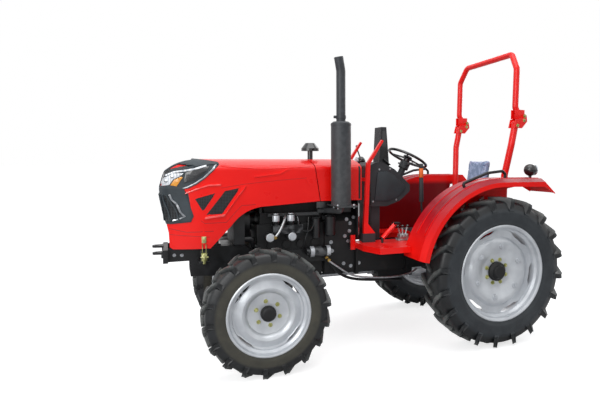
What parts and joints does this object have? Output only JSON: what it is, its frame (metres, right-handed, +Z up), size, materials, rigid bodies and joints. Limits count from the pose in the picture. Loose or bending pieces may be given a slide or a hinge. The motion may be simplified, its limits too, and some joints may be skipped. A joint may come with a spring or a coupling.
{
  "type": "four-wheel-drive farm tractor",
  "caption": "Open-station farm tractor with tilting hood, steered front axle, lugged tyres, folding roll bar and rear linkage.",
  "frame": {"origin": "on the ground under the middle of the whole machine", "axes": "+X forward, +Y to the tractor's left, +Z up"},
  "size_m": [3.8398, 1.665, 2.721],
  "materials": {
    "red_paint": "high gloss enamel",
    "black_paint": "satin black",
    "silver_paint": "silver enamel",
    "cast_iron": "painted black",
    "dark_plastic": "grained",
    "lamp": "clear lens over reflectors",
    "tyre": "matt",
    "steel": "zinc plated",
    "aluminium": "cast",
    "seat_vinyl": "blue-grey vinyl",
    "black_plastic": "gloss"
  },
  "bodies": {
    "chassis": {"engine_block": "cast_iron", "fuel_system": "aluminium", "filters": "black_paint", "fuel_tank": "black_paint", "alternator_starter": "aluminium", "radiator": "black_paint", "battery": "black_plastic", "front_frame": "black_paint", "front_axle_beam": "cast_iron", "transmission_case": "cast_iron", "rear_axle": "cast_iron", "drive_shaft": "steel", "drawbar": "black_paint", "rear_cowl": "red_paint", "air_intake": "black_plastic", "exhaust": "black_paint", "footboards": "red_paint", "fender_left": "red_paint", "fender_right": "red_paint", "grab_rails": "black_paint", "work_lamps": "black_plastic", "dash_console": "dark_plastic", "dash_posts": "red_paint", "seat_base": "black_paint", "seat_cushions": "seat_vinyl", "controls": "black_paint", "rops_posts": "red_paint"},
    "wheel_front_left": {"tyre_front_left": "tyre", "rim_front_left": "silver_paint"},
    "wheel_front_right": {"tyre_front_right": "tyre", "rim_front_right": "silver_paint"},
    "wheel_rear_left": {"tyre_rear_left": "tyre", "rim_rear_left": "silver_paint"},
    "wheel_rear_right": {"tyre_rear_right": "tyre", "rim_rear_right": "silver_paint"},
    "knuckle_left": {"knuckle_left": "cast_iron"},
    "knuckle_right": {"knuckle_right": "cast_iron"},
    "tie_rod": {"tie_rod": "steel"},
    "cylinder": {"steering_cylinder": "black_paint"},
    "piston": {"steering_piston": "steel"},
    "steering_wheel": {"steering_wheel": "black_plastic"},
    "hood": {"hood": "red_paint", "grilles": "black_plastic", "headlamps": "lamp"},
    "fan": {"fan": "black_plastic"},
    "roll_bar": {"rops_hoop": "red_paint"},
    "pto": {"pto_shaft": "steel"},
    "lift_arms": {"lift_arms": "cast_iron"},
    "lower_link_left": {"lower_link_left": "black_paint"},
    "lower_link_right": {"lower_link_right": "black_paint"},
    "lift_rod_left": {"lift_rod_left": "black_paint"},
    "lift_rod_right": {"lift_rod_right": "black_paint"},
    "top_link": {"top_link": "black_paint"}
  },
  "joints": [
    {"name": "wheel_front_left_spin", "type": "hinge", "parent": "knuckle_left", "child": "wheel_front_left", "pos_m": [1.09, 0.615, 0.49561], "axis": [0, 1, 0], "continuous": true},
    {"name": "wheel_front_right_spin", "type": "hinge", "parent": "knuckle_right", "child": "wheel_front_right", "pos_m": [1.09, -0.615, 0.49561], "axis": [0, 1, 0], "continuous": true},
    {"name": "wheel_rear_left_spin", "type": "hinge", "parent": "chassis", "child": "wheel_rear_left", "pos_m": [-0.96, 0.675, 0.67292], "axis": [0, 1, 0], "continuous": true},
    {"name": "wheel_rear_right_spin", "type": "hinge", "parent": "chassis", "child": "wheel_rear_right", "pos_m": [-0.96, -0.675, 0.67292], "axis": [0, 1, 0], "continuous": true},
    {"name": "steer_left", "type": "hinge", "parent": "chassis", "child": "knuckle_left", "pos_m": [1.09, 0.43, 0.5], "axis": [0, 0, 1], "range_deg": [-36, 36]},
    {"name": "steer_right", "type": "hinge", "parent": "chassis", "child": "knuckle_right", "pos_m": [1.09, -0.43, 0.5], "axis": [0, 0, 1], "range_deg": [-36, 36]},
    {"name": "tie_rod_ball", "type": "hinge", "parent": "knuckle_left", "child": "tie_rod", "pos_m": [1.26, 0.43, 0.466], "axis": [0, 0, 1], "range_deg": [-36, 36]},
    {"name": "cylinder_pivot", "type": "hinge", "parent": "chassis", "child": "cylinder", "pos_m": [1.26, -0.054, 0.54], "axis": [0, 0, 1], "range_deg": [-4, 4]},
    {"name": "piston_slide", "type": "slide", "parent": "cylinder", "child": "piston", "axis": [0, 1, 0], "range_m": [-0.101, 0.101]},
    {"name": "steering_wheel_turn", "type": "hinge", "parent": "chassis", "child": "steering_wheel", "pos_m": [-0.424, 0, 1.694], "axis": [-0.4462, 0, 0.8949], "range_deg": [-600, 600]},
    {"name": "hood_open", "type": "hinge", "parent": "chassis", "child": "hood", "pos_m": [0.59, 0, 1.661], "axis": [0, -1, 0], "range_deg": [0, 45]},
    {"name": "fan_spin", "type": "hinge", "parent": "chassis", "child": "fan", "pos_m": [1.16, 0, 1.15], "axis": [1, 0, 0], "continuous": true},
    {"name": "roll_bar_fold", "type": "hinge", "parent": "chassis", "child": "roll_bar", "pos_m": [-1.392, 0, 2.05], "axis": [0, -1, 0], "range_deg": [0, 110]},
    {"name": "pto_spin", "type": "hinge", "parent": "chassis", "child": "pto", "pos_m": [-1.2, 0, 0.62], "axis": [1, 0, 0], "continuous": true},
    {"name": "lift_arms_raise", "type": "hinge", "parent": "chassis", "child": "lift_arms", "pos_m": [-1.08, 0, 0.985], "axis": [0, 1, 0], "range_deg": [-12, 30]},
    {"name": "lower_link_left_raise", "type": "hinge", "parent": "chassis", "child": "lower_link_left", "pos_m": [-1.09, 0.3, 0.47], "axis": [0, 1, 0], "range_deg": [-12, 30]},
    {"name": "lower_link_right_raise", "type": "hinge", "parent": "chassis", "child": "lower_link_right", "pos_m": [-1.09, -0.3, 0.47], "axis": [0, 1, 0], "range_deg": [-12, 30]},
    {"name": "lift_rod_left_pin", "type": "hinge", "parent": "lift_arms", "child": "lift_rod_left", "pos_m": [-1.38, 0.27, 0.97386], "axis": [0, 1, 0], "range_deg": [-30, 12]},
    {"name": "lift_rod_right_pin", "type": "hinge", "parent": "lift_arms", "child": "lift_rod_right", "pos_m": [-1.38, -0.27, 0.97386], "axis": [0, 1, 0], "range_deg": [-30, 12]},
    {"name": "top_link_swing", "type": "hinge", "parent": "chassis", "child": "top_link", "pos_m": [-1.19, 0, 0.85], "axis": [0, 1, 0], "range_deg": [0, 60]}
  ],
  "couplings": [
    {"joint": "steer_right", "follows": "steer_left", "ratio": 1},
    {"joint": "tie_rod_ball", "follows": "steer_left", "ratio": -1},
    {"joint": "cylinder_pivot", "follows": "steer_left", "ratio": -0.023},
    {"joint": "piston_slide", "follows": "steer_left", "m_per_rad": 0.15903},
    {"joint": "steering_wheel_turn", "follows": "steer_left", "ratio": 15},
    {"joint": "lower_link_left_raise", "follows": "lift_arms_raise", "ratio": 1},
    {"joint": "lower_link_right_raise", "follows": "lift_arms_raise", "ratio": 1},
    {"joint": "lift_rod_left_pin", "follows": "lift_arms_raise", "ratio": -1},
    {"joint": "lift_rod_right_pin", "follows": "lift_arms_raise", "ratio": -1}
  ]
}
